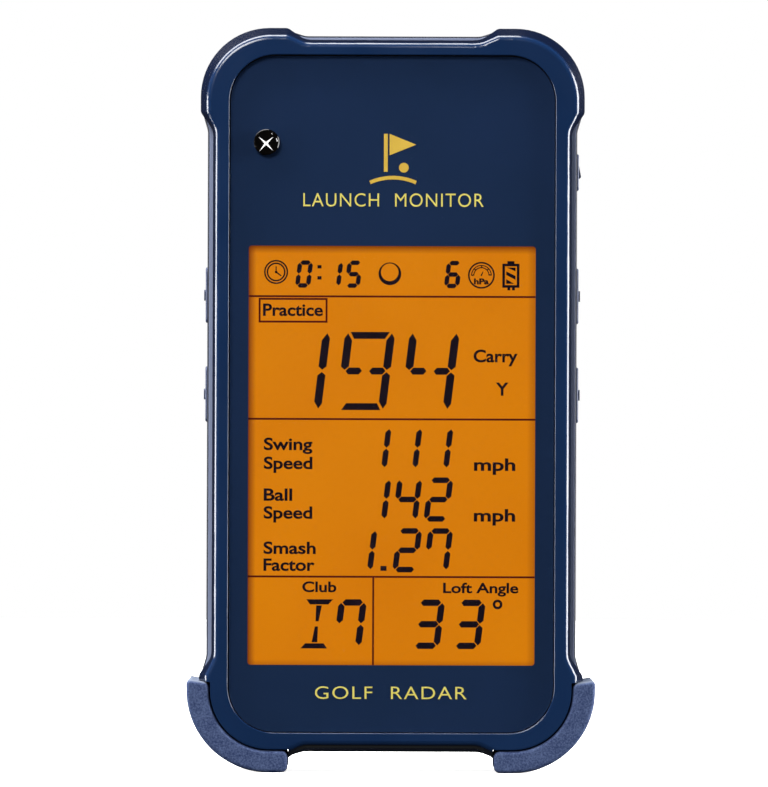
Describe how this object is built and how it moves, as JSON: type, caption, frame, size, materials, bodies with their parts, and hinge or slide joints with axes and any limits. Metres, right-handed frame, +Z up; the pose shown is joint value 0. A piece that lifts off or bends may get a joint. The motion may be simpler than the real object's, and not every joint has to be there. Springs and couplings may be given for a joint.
{
  "type": "launch monitor",
  "caption": "Hand-sized golf launch monitor with an orange back-lit display, corner bumpers, side rocker keys and a fold-out rear stand with soft corner boots.",
  "frame": {"origin": "centre of the footprint, level with the flat soles of the two corner boots", "axes": "+Z up along the case, the display faces -Y, +X to the viewer's right"},
  "size_m": [0.0798, 0.023, 0.1453],
  "materials": {
    "navy_shell": "glossy moulded navy plastic",
    "navy_rear": "satin moulded navy plastic",
    "clear_acrylic": "clear hard-coated acrylic",
    "dark_print": "dark blue back-printed film",
    "smoked_lens": "dark infrared-pass plastic",
    "lcd": "orange back-lit liquid crystal cell",
    "light_guide": "frosted light guide",
    "white_plastic": "white moulded plastic",
    "black_foam": "closed-cell foam",
    "black_rubber": "conductive silicone rubber",
    "boot_rubber": "fine-textured grey-blue elastomer",
    "key_plastic": "satin grey-blue plastic",
    "stand_plastic": "fine-textured navy plastic",
    "board_green": "solder-masked fibreglass",
    "chip_black": "epoxy package",
    "copper": "gold-flashed copper",
    "tin": "tinned steel",
    "steel": "bright steel",
    "cell_label": null,
    "cone_paper": "doped diaphragm"
  },
  "bodies": {
    "case": {"front_bezel": "navy_shell", "display_lens": "clear_acrylic", "lens_print": "dark_print", "eye_window": "smoked_lens", "eye_sensor": "chip_black", "lcd_gasket": "black_foam", "lcd_glass": "lcd", "lcd_backlight": "light_guide", "lcd_connector": "black_rubber", "lcd_frame": "white_plastic", "main_board": "board_green", "board_chips": "chip_black", "radar_board": "board_green", "radar_patches": "copper", "radar_shield": "tin", "radar_spacers": "steel", "side_boards": "board_green", "board_links": "chip_black", "key_switches": "chip_black", "speaker_basket": "steel", "speaker_magnet": "steel", "speaker_cone": "cone_paper", "speaker_leads": "copper", "rear_case": "navy_rear", "battery_cells": "cell_label", "battery_springs": "steel", "battery_plates": "tin", "hinge_pins": "steel", "hinge_washers": "steel", "case_screws": "steel", "board_screws": "steel"},
    "stand": {"stand_frame": "stand_plastic", "left_boot": "boot_rubber", "right_boot": "boot_rubber"},
    "door": {"battery_door": "navy_rear"},
    "left_upper_rocker": {"left_upper_key": "key_plastic"},
    "left_lower_rocker": {"left_lower_key": "key_plastic"},
    "right_upper_rocker": {"right_upper_key": "key_plastic"},
    "right_lower_rocker": {"right_lower_key": "key_plastic"},
    "power": {"power_button": "key_plastic"}
  },
  "joints": [
    {"name": "stand_fold", "type": "hinge", "parent": "case", "child": "stand", "pos_m": [0, 0.0086, 0.0717], "axis": [1, 0, 0], "range_deg": [0, 40]},
    {"name": "door_tilt", "type": "hinge", "parent": "case", "child": "door", "pos_m": [0, 0.01095, 0.0215], "axis": [-1, 0, 0], "range_deg": [0, 60]},
    {"name": "left_upper_rock", "type": "hinge", "parent": "case", "child": "left_upper_rocker", "pos_m": [-0.03365, 0.001, 0.0932], "axis": [0, 1, 0], "range_deg": [-2.5, 2.5], "stiffness_Nm_per_rad": 0.14},
    {"name": "left_lower_rock", "type": "hinge", "parent": "case", "child": "left_lower_rocker", "pos_m": [-0.03365, 0.001, 0.0738], "axis": [0, 1, 0], "range_deg": [-2.5, 2.5], "stiffness_Nm_per_rad": 0.14},
    {"name": "right_upper_rock", "type": "hinge", "parent": "case", "child": "right_upper_rocker", "pos_m": [0.03365, 0.001, 0.0932], "axis": [0, 1, 0], "range_deg": [-2.5, 2.5], "stiffness_Nm_per_rad": 0.14},
    {"name": "right_lower_rock", "type": "hinge", "parent": "case", "child": "right_lower_rocker", "pos_m": [0.03365, 0.001, 0.0738], "axis": [0, 1, 0], "range_deg": [-2.5, 2.5], "stiffness_Nm_per_rad": 0.14},
    {"name": "power_press", "type": "slide", "parent": "case", "child": "power", "axis": [-1, 0, 0], "range_m": [0, 0.0004], "stiffness_N_per_m": 2500}
  ]
}
